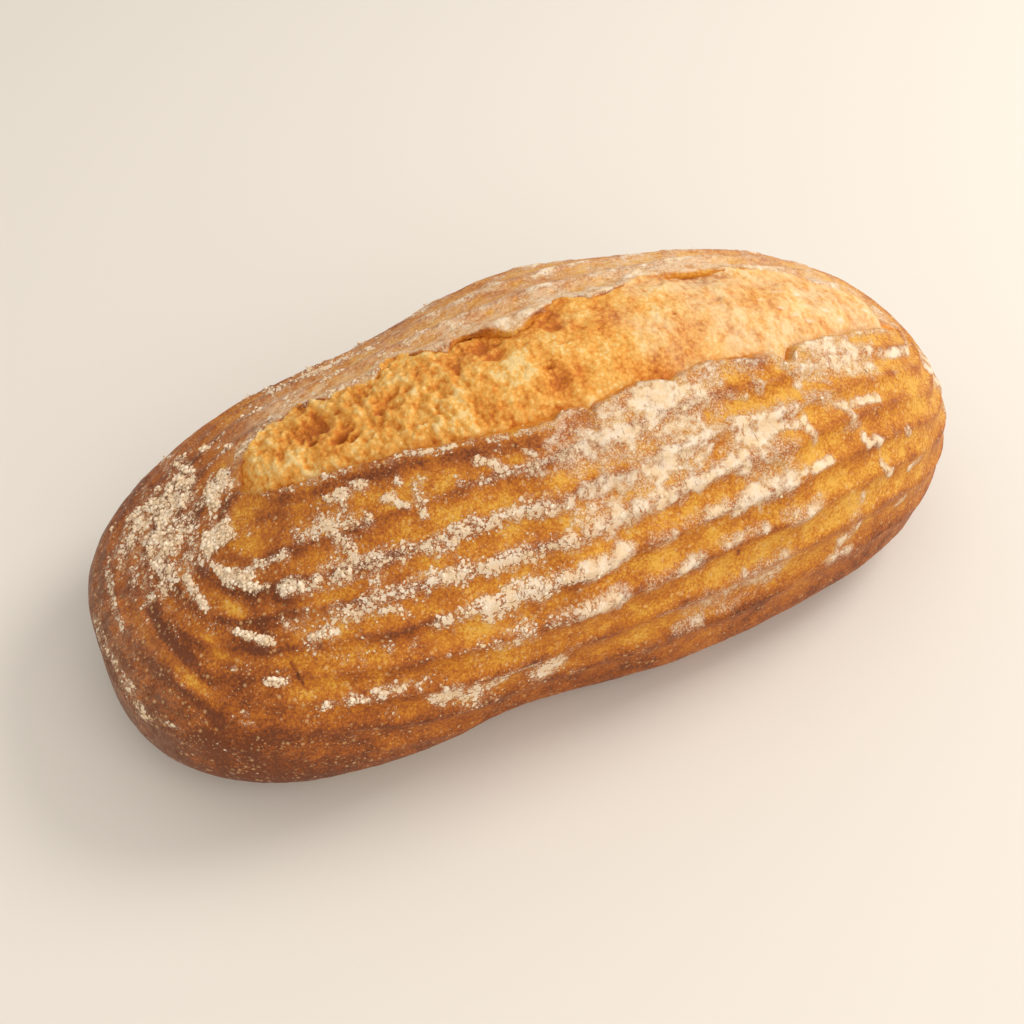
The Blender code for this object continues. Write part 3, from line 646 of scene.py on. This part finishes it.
def crust_shape():
    """Points, squares, the piece of each square and the painted values of the crust."""
    squares = box_squares(CELLS_X, CELLS_TOP, CELLS_SIDE)
    sizes = [len(s) for s in squares]
    corners = np.concatenate(squares)
    span = np.array([(CELLS_TOP + 1) * (CELLS_SIDE + 1), CELLS_SIDE + 1, 1])
    ids, faces = np.unique(corners @ span, return_inverse=True)
    faces = faces.reshape(-1, 4)
    grid = np.stack([ids // span[0], ids // span[1] % (CELLS_TOP + 1), ids % span[1]], axis=1)
    a, b, c = (grid / np.array([CELLS_X, CELLS_TOP, CELLS_SIDE]) * 2.0 - 1.0).T
    size = np.maximum(np.abs(b), np.abs(c))
    cap = np.sign(a) * np.sqrt(1.0 - (math.cos(END_ANGLE) * size) ** 2)
    s_x = np.where(np.abs(a) > 0.9999, cap, np.sin(END_ANGLE * a))
    angle = np.where(size > 1e-6, grid_angle(b, c), 90.0)
    x = HALF_LENGTH * power(s_x, LENGTH_POWER)
    angle = lens_angle(angle, x)
    p = body(s_x, np.radians(angle))
    n = grid_normals(p, faces)
    ring = ring_field(p)
    wobble = 0.07 + 0.16 * smooth(-75.0, -110.0, x)
    ring = ring + wobble * Noise(41).layers(p, 26.0, 2)
    middle = CELLS_TOP // 2
    row = np.abs(grid[:, 1] - middle)
    top = (grid[:, 2] == CELLS_SIDE) & (x > SLASH_OPENS[0]) & (x < SLASH_CLOSES[1])
    edge_near = p[:, 1] - near_edge(p[:, 0])
    edge_far = far_edge(p[:, 0]) - p[:, 1]
    wide_enough = near_edge(x) + 1.0 < far_edge(x)
    depth = np.where(top & wide_enough, np.maximum(LIP_COLUMNS - row, 0), 0)
    paint = crust_paint(p, ring, edge_near, edge_far)
    height, reach = crust_relief(p, ring, paint["flour"], edge_near, edge_far, depth)
    paint["torn"] = smooth(1.4, 2.6, depth.astype(float))
    paint["flour"] = np.where(depth > 2, paint["flour"] - 0.3, paint["flour"])
    low = p[:, 2] <= 0.0
    moved = p + n * height[:, None]
    moved[:, 1] -= reach
    moved[:, 2] = np.where(low, 0.0, np.maximum(moved[:, 2], 0.0))
    groups = np.repeat(np.arange(len(sizes)), sizes)
    return moved, faces, square_pieces(grid, faces, groups), paint


def square_pieces(grid, faces, groups):
    """Which piece each square belongs to: 0 front, 1 back, 2 top and base. The two ends are
    shared out between front and back."""
    j = grid[faces[:, 0], 1]
    end = np.where(j < CELLS_TOP / 2, 0, 1)
    return np.select([groups == 2, groups == 3, groups <= 1], [0, 1, end], 2)


# Opened crumb of the slash


def off_spot(x, y, centre_x, centre_y, half_x, half_y):
    """Distance from a spot's centre, in half sizes."""
    return np.hypot((x - centre_x) / half_x, (y - centre_y) / half_y)


def bloom_shape():
    """Points, squares and painted values of the opened crumb."""
    x = np.linspace(CRUMB_OPENS[0], CRUMB_CLOSES[1], BLOOM_X + 1)
    across = np.linspace(0.0, 1.0, BLOOM_ACROSS + 1)
    near = lean(x, near_edge(x) - UNDER_NEAR)
    far = lean(x, far_edge(x) + UNDER_FAR)
    g, t = np.meshgrid(x, across, indexing="ij")
    angle = 90.0 + near[:, None] + (far - near)[:, None] * t
    p = body(end_sine(g.ravel()), np.radians(angle.ravel()))
    i, j = np.meshgrid(np.arange(BLOOM_X), np.arange(BLOOM_ACROSS), indexing="ij")
    first = (i * (BLOOM_ACROSS + 1) + j).ravel()
    beside = first + BLOOM_ACROSS + 1
    faces = np.stack([first, beside, beside + 1, first + 1], axis=1)
    n = grid_normals(p, faces)
    px, py = p[:, 0], p[:, 1]
    inward_near = py - near_edge(px)
    inward_far = far_edge(px) - py
    wide = np.maximum(inward_near + inward_far, 1.0)
    share = np.clip(inward_near / wide, 0.0, 1.0)
    cave = far_cave(px, 0.12)
    left = smooth(10.0, -50.0, px)
    crags = Noise(51).layers(p, (22.0, 13.0, 12.0), 2)
    strand = Noise(53).layers(p, (3.0, 12.0, 6.0), 2)
    lumps = Noise(54).layers(p, (8.0, 6.0, 6.0), 3)
    fine = Noise(52).layers(p, (2.4, 3.2, 2.4), 3)
    tears = 1.0 - 2.2 * np.abs(Noise(56).layers(p, (6.5, 5.0, 5.0), 3))
    calm = smooth(-1.5, 3.0, inward_near)
    torn = 1.0 - 2.0 * np.abs(strand)
    rough = (1.0 * crags + 0.8 * left * torn + (0.65 + 0.3 * left) * lumps) * calm
    rough = rough + (0.34 + 0.16 * left) * fine + (0.35 + 0.55 * left) * tears * calm
    pits = np.zeros(len(p))
    for *spot, depth in BLOOM_PITS:
        pits = pits + depth * np.exp(-off_spot(px, py, *spot) ** 3)
    rough = rough - pits
    cavity = 3.4 * cave * decay(inward_far, 5.0)
    cavity = cavity * (1.0 - 0.7 * smooth(75.0, 100.0, px))
    height = 1.0 * np.sin(math.pi * share) - 2.6 * decay(inward_near, 4.0)
    meet = 1.4 * decay(inward_far, 3.5) * np.clip(1.0 - cave, 0.0, 1.0)
    height = height + meet - cavity + rough
    open_here = fade(px, CRUMB_OPENS, CRUMB_CLOSES)
    height = height * open_here - 3.0 * (1.0 - open_here)
    under = smooth(0.0, -2.0, inward_near) + smooth(0.0, -2.5, inward_far)
    height = height - 4.5 * np.clip(under, 0.0, 1.0)
    moved = p + n * height[:, None]
    pale = smooth(-40.0, 60.0, px) + 0.5 * Noise(55).layers(p, 18.0, 2)
    # Height that sets the crumb's colour: lower in holes, pits and the caves under the far lip for
    # painted shade, higher on raised crumb for a painted highlight
    high = np.clip(rough - 0.5 * cavity - 0.25 * left, -1.9, 1.6)
    fallen = np.zeros(len(p))
    for spot in BLOOM_FLOUR:
        fallen = np.maximum(fallen, np.exp(-0.8 * off_spot(px, py, *spot) ** 2))
    return moved, faces, {"high": high, "pale": pale, "fallen": fallen}


# Loose flour: small lumps that stand on the crust

LUMP_CORNERS = 12


def lump_template():
    """Corners and triangles of an icosahedron of radius 1."""
    g = (1.0 + math.sqrt(5.0)) / 2.0
    corners = []
    for one, two in itertools.product((-1.0, 1.0), (-g, g)):
        corners += [(0.0, one, two), (one, two, 0.0), (two, 0.0, one)]
    corners = np.array(corners) / math.hypot(1.0, g)
    faces = []
    for trio in itertools.combinations(range(LUMP_CORNERS), 3):
        a, b, c = corners[list(trio)]
        longest = max(np.linalg.norm(a - b), np.linalg.norm(b - c), np.linalg.norm(c - a))
        if longest < 1.2:
            outward = np.dot(np.cross(b - a, c - a), a + b + c) > 0.0
            faces.append(trio if outward else trio[::-1])
    return corners, np.array(faces)


def grains_shape(p, normals, flour):
    """Flattened lumps of random size on the thick flour."""
    rng = np.random.default_rng(GRAIN_SEED)
    count = GRAIN_COUNT
    low, high = GRAIN_SIZES
    left = smooth(-55.0, -95.0, p[:, 0])
    weight = smooth(0.42, 0.85, flour) * (0.02 + 0.35 * smooth(0.0, -40.0, p[:, 0]) + 0.63 * left)
    weight = weight * smooth(-138.0, -133.0, p[:, 0])
    chosen = rng.choice(len(p), size=count, p=weight / weight.sum())
    centre = p[chosen] + rng.normal(scale=0.35, size=(count, 3))
    up = normals[chosen]
    size = low * (high / low) ** (rng.random(count) ** 2.2) * (0.62 + 0.38 * left[chosen])
    across = np.cross(up, rng.normal(size=(count, 3)))
    across = across / np.linalg.norm(across, axis=1)[:, None]
    other = np.cross(up, across)
    corners, faces = lump_template()
    rough = 1.0 + rng.uniform(-0.3, 0.3, size=(count, LUMP_CORNERS))
    spread = size[:, None] * rough
    flat = rng.uniform(0.4, 0.8, size=count)
    wide = rng.uniform(0.75, 1.3, size=count)
    places = (centre[:, None]
              + across[:, None] * (corners[None, :, 0] * spread * wide[:, None])[..., None]
              + other[:, None] * (corners[None, :, 1] * spread)[..., None]
              + up[:, None] * (corners[None, :, 2] * spread * flat[:, None] + 0.1)[..., None])
    numbers = faces[None] + LUMP_CORNERS * np.arange(count)[:, None, None]
    return places.reshape(-1, 3), numbers.reshape(-1, 3)


def flour_material():
    """Dry lumps of flour, cream to tan."""
    g = Graph("loose_flour")
    tint = g.fit(g.noise(3.0, 3.0), 0.38, 0.62)
    g.shade("Base Color", g.mix(tint, FLOUR_WHITE, FLOUR_LUMP))
    g.shade("Roughness", g.fit(g.noise(1.0), 0.3, 0.7, 0.88, 1.0))
    g.shade("Specular IOR Level", 0.1)
    g.shade("Normal", g.bump(g.noise(0.5, 2.0), 0.12))
    return g.material


def add_piece(name, p, faces, normals, paint, material):
    """A mesh of these faces with its normals and painted values, in place of the solid."""
    used, local = np.unique(faces, return_inverse=True)
    sides = faces.shape[1]
    local = local.reshape(-1, sides)
    mesh = bpy.data.meshes.new(name)
    place = (p[used] + SHIFT) * MM
    mesh.vertices.add(len(used))
    mesh.vertices.foreach_set("co", place.astype(np.float32).ravel())
    mesh.loops.add(local.size)
    mesh.loops.foreach_set("vertex_index", local.astype(np.int32).ravel())
    mesh.polygons.add(len(local))
    mesh.polygons.foreach_set("loop_start", np.arange(0, local.size, sides, dtype=np.int32))
    mesh.polygons.foreach_set("use_smooth", np.ones(len(local), dtype=bool))
    mesh.update(calc_edges=True)
    mesh.validate()
    for key, values in paint.items():
        layer = mesh.attributes.new(key, "FLOAT", "POINT")
        layer.data.foreach_set("value", values[used].astype(np.float32))
    if normals is not None:
        mesh.normals_split_custom_set_from_vertices(normals[used].tolist())
    mesh.materials.append(material)
    piece = bpy.data.objects.new(name, mesh)
    bpy.context.scene.collection.objects.link(piece)
    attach(piece, "root")
    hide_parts("loaf")


# Materials


# Colour sockets of the Mix node
MIX_A = 6
MIX_B = 7
MIX_RESULT = 2


class Graph:
    """Short calls for building a material's nodes."""

    def __init__(self, name):
        self.material = bpy.data.materials.new(name)
        self.material.use_nodes = True
        self.tree = self.material.node_tree
        self.surface = self.tree.nodes["Principled BSDF"]
        self.place = self.node("ShaderNodeTexCoord").outputs["Object"]

    def node(self, kind, **settings):
        made = self.tree.nodes.new(kind)
        for key, value in settings.items():
            setattr(made, key, value)
        return made

    def put(self, socket, value):
        if isinstance(value, bpy.types.NodeSocket):
            self.tree.links.new(value, socket)
        elif isinstance(value, tuple) and len(value) == 3 and socket.type == "RGBA":
            socket.default_value = (*value, 1.0)
        else:
            socket.default_value = value

    def shade(self, name, value):
        self.put(self.surface.inputs[name], value)

    def painted(self, name):
        """The values that the script painted on the mesh under this name."""
        return self.node("ShaderNodeAttribute", attribute_name=name).outputs["Fac"]

    def noise(self, size, detail=3.0, rough=0.55, stretch=(1.0, 1.0, 1.0)):
        """Noise with features of this size in millimetres, 0 to 1."""
        place = self.node("ShaderNodeMapping")
        self.put(place.inputs["Vector"], self.place)
        place.inputs["Scale"].default_value = [1.0 / s for s in stretch]
        made = self.node("ShaderNodeTexNoise")
        self.put(made.inputs["Vector"], place.outputs["Vector"])
        made.inputs["Scale"].default_value = 1000.0 / size
        made.inputs["Detail"].default_value = detail
        made.inputs["Roughness"].default_value = rough
        return made.outputs["Fac"]

    def around(self, value, strength):
        """A 0 to 1 value turned into one around zero, this strong."""
        return self.math("MULTIPLY", self.math("SUBTRACT", value, 0.5), strength)

    def cells(self, size, warp=0.0):
        """Distance to scattered spots in cells of this size, warped by so many millimetres."""
        made = self.node("ShaderNodeTexVoronoi", feature="F1")
        place = self.place
        if warp:
            push = self.node("ShaderNodeTexNoise")
            self.put(push.inputs["Vector"], self.place)
            push.inputs["Scale"].default_value = 1000.0 / size
            shift = self.node("ShaderNodeVectorMath", operation="MULTIPLY_ADD")
            self.put(shift.inputs[0], push.outputs["Color"])
            shift.inputs[1].default_value = (2.0 * warp * MM,) * 3
            self.put(shift.inputs[2], self.place)
            place = shift.outputs["Vector"]
        self.put(made.inputs["Vector"], place)
        made.inputs["Scale"].default_value = 1000.0 / size
        return made.outputs["Distance"]

    def math(self, kind, a, b=0.0, clamp=False):
        made = self.node("ShaderNodeMath", operation=kind, use_clamp=clamp)
        for socket, value in zip(made.inputs, (a, b)):
            self.put(socket, value)
        return made.outputs["Value"]

    def fit(self, value, low, high, to_low=0.0, to_high=1.0):
        """The value rescaled smoothly from low..high to the target range."""
        made = self.node("ShaderNodeMapRange", interpolation_type="SMOOTHSTEP")
        for socket, v in zip(made.inputs, (value, low, high, to_low, to_high)):
            self.put(socket, v)
        return made.outputs["Result"]

    def mix(self, share, a, b):
        made = self.node("ShaderNodeMix", data_type="RGBA")
        self.put(made.inputs["Factor"], share)
        self.put(made.inputs[MIX_A], a)
        self.put(made.inputs[MIX_B], b)
        return made.outputs[MIX_RESULT]

    def ramp(self, value, stops):
        made = self.node("ShaderNodeValToRGB")
        ramp = made.color_ramp
        while len(ramp.elements) < len(stops):
            ramp.elements.new(0.5)
        for element, (where, colour) in zip(ramp.elements, stops):
            element.position = where
            element.color = (*colour, 1.0)
        self.put(made.inputs["Fac"], value)
        return made.outputs["Color"]

    def bump(self, height, depth, over=None):
        """Bump from a 0 to 1 height, this many millimetres deep."""
        made = self.node("ShaderNodeBump")
        made.inputs["Strength"].default_value = 1.0
        made.inputs["Distance"].default_value = depth * MM
        self.put(made.inputs["Height"], height)
        if over is not None:
            self.put(made.inputs["Normal"], over)
        return made.outputs["Normal"]


# Crust, from least to most baked; the darker colours also carry the painted shade low down and
# below the crests
HONEY = (0.77, 0.405, 0.060)
GOLD = (0.70, 0.325, 0.033)
AMBER = (0.57, 0.188, 0.013)
RUST = (0.375, 0.095, 0.011)
DARK = (0.16, 0.038, 0.008)
BLISTER = (0.80, 0.52, 0.23)
# Flour, and the thin layers of it that let the crust through
FLOUR_WHITE = (0.93, 0.78, 0.59)
FLOUR_TAN = (0.89, 0.67, 0.42)
FLOUR_LUMP = (0.80, 0.61, 0.40)
FILM = (0.92, 0.73, 0.50)
HAZE = (0.93, 0.68, 0.43)
DUST = (0.42, 0.18, 0.085)
# Opened crumb, from its holes to its ridges: the darkest colour is painted shade in the holes and
# the palest a painted highlight on the ridges
CRUMB_HOLE_SHADE = (0.50, 0.13, 0.010)
CRUMB_DEEP = (0.66, 0.20, 0.015)
CRUMB_WARM = (0.82, 0.345, 0.046)
CRUMB_GOLD = (0.90, 0.49, 0.11)
CRUMB_RIDGE_HIGHLIGHT = (0.93, 0.64, 0.26)
CRUMB_PALE = (0.88, 0.68, 0.39)


def crust_material():
    """Baked crust: browning with painted shade low down and below the crests, blisters and torn
    edges, then dust, haze and flour over them.
    """
    g = Graph("crust_baked")
    flour = g.painted("flour")
    brown_and_shade = g.painted("brown_and_shade")
    torn = g.painted("torn")
    chalk = g.painted("chalk")
    haze = g.painted("haze")
    mottle = g.around(g.noise(6.0, 5.0, 0.6), 1.1)
    fine = g.around(g.noise(0.9, 4.0, 0.75), 1.7)
    tone = g.math("ADD", g.math("ADD", brown_and_shade, mottle), fine)
    base = g.ramp(g.math("ADD", tone, 0.14, clamp=True),
                  [(0.0, HONEY), (0.12, GOLD), (0.34, AMBER), (0.66, RUST), (1.0, DARK)])
    blister = g.math("MAXIMUM", g.fit(g.cells(2.6), 0.30, 0.12), g.fit(g.cells(1.3), 0.26, 0.12))
    blister = g.math("MULTIPLY", blister, g.fit(g.noise(7.0), 0.42, 0.54))
    base = g.mix(g.math("MULTIPLY", blister, 0.50), base, BLISTER)
    base = g.mix(torn, base, g.mix(g.fit(g.noise(2.0, 4.0), 0.35, 0.65), CRUMB_DEEP, CRUMB_WARM))

    # Grainy flour at the left, smeared flour at the right, both parted by thin cracks
    ragged = g.around(g.noise(1.6, 4.0, 0.65), 0.9)
    level = g.math("ADD", flour, ragged)
    reach = g.math("MULTIPLY", level, 0.95)
    large = g.math("SUBTRACT", reach, g.cells(1.7, warp=0.5))
    small = g.math("SUBTRACT", g.math("SUBTRACT", reach, 0.10), g.cells(0.85, warp=0.3))
    grains = g.fit(g.math("MAXIMUM", large, small), -0.02, 0.07)
    smeared = g.math("ADD", flour, g.around(g.noise(2.6, 6.0, 0.75), 1.6))
    smeared = g.math("ADD", smeared, g.around(g.noise(9.0, 3.0, 0.6), 1.0))
    smeared = g.fit(smeared, 0.44, 0.84)
    vein = g.math("ABSOLUTE", g.around(g.noise(5.0, 2.0, 0.5, (0.6, 2.0, 2.0)), 1.0))
    crack = g.math("MAXIMUM", g.fit(vein, 0.004, 0.022), g.fit(g.noise(7.0), 0.60, 0.52))
    grainy = g.math("SUBTRACT", 1.0, chalk)
    cover = g.math("ADD", g.math("MULTIPLY", grains, grainy), g.math("MULTIPLY", smeared, chalk))
    cover = g.math("MULTIPLY", cover, crack)

    # Thin layers of flour round the thick ones
    dust = g.fit(level, 0.16, 0.52, 0.0, 0.34)
    stipple = g.fit(g.noise(0.55, 2.0), 0.50, 0.60)
    stipple = g.math("MULTIPLY", stipple, g.fit(level, 0.16, 0.54, 0.0, 0.55))
    colour = g.mix(dust, base, DUST)
    patchy = g.noise(2.4, 6.0, 0.75, (2.2, 1.0, 1.0))
    hazy = g.math("MULTIPLY", haze, g.fit(patchy, 0.38, 0.62, 0.15, 1.15))
    colour = g.mix(hazy, colour, HAZE)
    colour = g.mix(stipple, colour, FILM)
    powder = g.mix(g.fit(g.noise(4.0, 4.0), 0.38, 0.62), FLOUR_WHITE, FLOUR_TAN)
    colour = g.mix(g.math("MULTIPLY", cover, 0.88), colour, powder)
    g.shade("Base Color", colour)
    g.shade("Roughness", g.fit(cover, 0.0, 1.0, 0.48, 0.92))
    g.shade("Specular IOR Level", g.fit(cover, 0.0, 1.0, 0.24, 0.1))
    skin = g.bump(g.noise(1.4, 5.0, 0.68), 0.75)
    skin = g.bump(cover, 0.16, skin)
    g.shade("Normal", skin)
    return g.material


def bloom_material():
    """Torn crumb: painted shade in the holes, pits and caves, golden with a painted highlight on
    the raised ridges, creamy toward the right end.
    """
    g = Graph("crust_opened")
    high = g.painted("high")
    pale = g.painted("pale")
    broad = g.around(g.noise(9.0, 3.0, 0.5, (1.0, 1.4, 1.0)), 1.2)
    torn = g.around(g.noise(3.0, 5.0, 0.7, (1.0, 1.6, 1.0)), 1.4)
    crumb = g.around(g.cells(1.3, warp=0.6), -0.6)
    # Painted shade and highlight: the painted height darkens holes, pits and caves and lightens
    # raised crumb
    tone = g.math("ADD", g.math("MULTIPLY", high, 0.27), g.math("MULTIPLY", pale, 0.10))
    tone = g.math("ADD", g.math("ADD", tone, broad), g.math("ADD", torn, crumb))
    colour = g.ramp(g.math("ADD", tone, 0.475, clamp=True),
                    [(0.0, CRUMB_HOLE_SHADE), (0.22, CRUMB_DEEP), (0.5, CRUMB_WARM),
                     (0.80, CRUMB_GOLD), (1.0, CRUMB_RIDGE_HIGHLIGHT)])
    cream = g.fit(torn, -0.22, 0.16, 0.25, 1.0)
    cream = g.math("MULTIPLY", g.fit(pale, 0.55, 1.2, 0.0, 0.80), cream)
    colour = g.mix(cream, colour, CRUMB_PALE)
    fallen = g.math("ADD", g.painted("fallen"), g.around(g.noise(1.8, 5.0, 0.7), 1.2))
    colour = g.mix(g.fit(fallen, 0.60, 1.10, 0.0, 0.75), colour, FLOUR_WHITE)
    g.shade("Base Color", colour)
    g.shade("Roughness", 0.5)
    g.shade("Specular IOR Level", 0.32)
    skin = g.bump(g.noise(1.2, 5.0, 0.7, (1.0, 1.5, 1.0)), 0.9)
    g.shade("Normal", skin)
    return g.material


# Stage: floor, light and camera

CAMERA_AZIMUTH = math.radians(-26.249)
CAMERA_ELEVATION = math.radians(46.197)
CAMERA_REACH = 475.663
CAMERA_CENTRE = (539.648, 487.952)
CAMERA_TARGET = np.array([0.0, 0.0, 40.0])
CLIPPING = (0.01, 20.0)
FOCAL_PIXELS = 1422.0
PICTURE = 1024.0
SENSOR = 36.0
FLOOR_HALF = 30.0
FLOOR_COLOUR = (0.745, 0.695, 0.625)
SKY_COLOUR = (1.0, 0.965, 0.92)
SKY_STRENGTH = 0.74
# Lights, turned to one point: name, place and diameter in metres, watts, colour
LIGHT_TARGET = (0.0, 0.0, 0.05)
LIGHTS = (
    ("key", (0.90, 0.0, 0.90), 0.6, 7.5, (1.0, 0.97, 0.93)),
    ("fill", (0.10, -1.0, 0.85), 1.0, 5.6, (1.0, 0.97, 0.92)),
)


def camera():
    a, e = CAMERA_AZIMUTH, CAMERA_ELEVATION
    back = np.array([math.sin(a) * math.cos(e), -math.cos(a) * math.cos(e), math.sin(e)])
    right = np.array([math.cos(a), math.sin(a), 0.0])
    up = np.cross(back, right)
    scale = CAMERA_REACH / FOCAL_PIXELS
    place = CAMERA_TARGET + SHIFT + back * CAMERA_REACH
    place = place - right * (CAMERA_CENTRE[0] - PICTURE / 2.0) * scale
    place = place + up * (CAMERA_CENTRE[1] - PICTURE / 2.0) * scale
    data = bpy.data.cameras.new("view")
    data.sensor_width = SENSOR
    data.lens = FOCAL_PIXELS * SENSOR / PICTURE
    data.clip_start, data.clip_end = CLIPPING
    eye = bpy.data.objects.new("view", data)
    turn = Matrix((right, up, back)).transposed()
    eye.matrix_world = Matrix.Translation(place * MM) @ turn.to_4x4()
    bpy.context.scene.collection.objects.link(eye)
    bpy.context.scene.camera = eye


def area_light(name, place, size, watts, colour):
    data = bpy.data.lights.new(name, "AREA")
    data.shape = "DISK"
    data.size = size
    data.energy = watts
    data.color = colour
    lamp = bpy.data.objects.new(name, data)
    lamp.location = place
    aim = Vector(LIGHT_TARGET) - Vector(place)
    lamp.rotation_euler = aim.to_track_quat("-Z", "Y").to_euler()
    bpy.context.scene.collection.objects.link(lamp)


def stage():
    g = Graph("studio_floor")
    g.shade("Base Color", FLOOR_COLOUR)
    g.shade("Roughness", 0.8)
    g.shade("Specular IOR Level", 0.2)
    mesh = bpy.data.meshes.new("floor")
    turns = ((-1.0, -1.0), (1.0, -1.0), (1.0, 1.0), (-1.0, 1.0))
    corners = [(FLOOR_HALF * x, FLOOR_HALF * y, 0.0) for x, y in turns]
    mesh.from_pydata(corners, [], [(0, 1, 2, 3)])
    mesh.materials.append(g.material)
    floor = bpy.data.objects.new("floor", mesh)
    bpy.context.scene.collection.objects.link(floor)
    world = bpy.data.worlds.new("studio")
    world.use_nodes = True
    sky = world.node_tree.nodes["Background"]
    sky.inputs["Color"].default_value = (*SKY_COLOUR, 1.0)
    sky.inputs["Strength"].default_value = SKY_STRENGTH
    bpy.context.scene.world = world
    for light in LIGHTS:
        area_light(*light)
    scene = bpy.context.scene
    scene.view_settings.view_transform = "Standard"
    scene.view_settings.look = "None"


def main():
    p, faces, side, paint = crust_shape()
    normals = grid_normals(p, faces)
    crust = crust_material()
    for number, name in enumerate(("crust_front", "crust_back", "crust_top_and_base")):
        add_piece(name, p, faces[side == number], normals, paint, crust)
    flour = np.where(normals[:, 2] > GRAIN_SLANT, paint["flour"], 0.0)
    lumps, numbers = grains_shape(p, normals, flour)
    add_piece("flour_grains", lumps, numbers, None, {}, flour_material())
    p, faces, paint = bloom_shape()
    add_piece("opened_slash", p, faces, None, paint, bloom_material())
    stage()
    camera()


main()
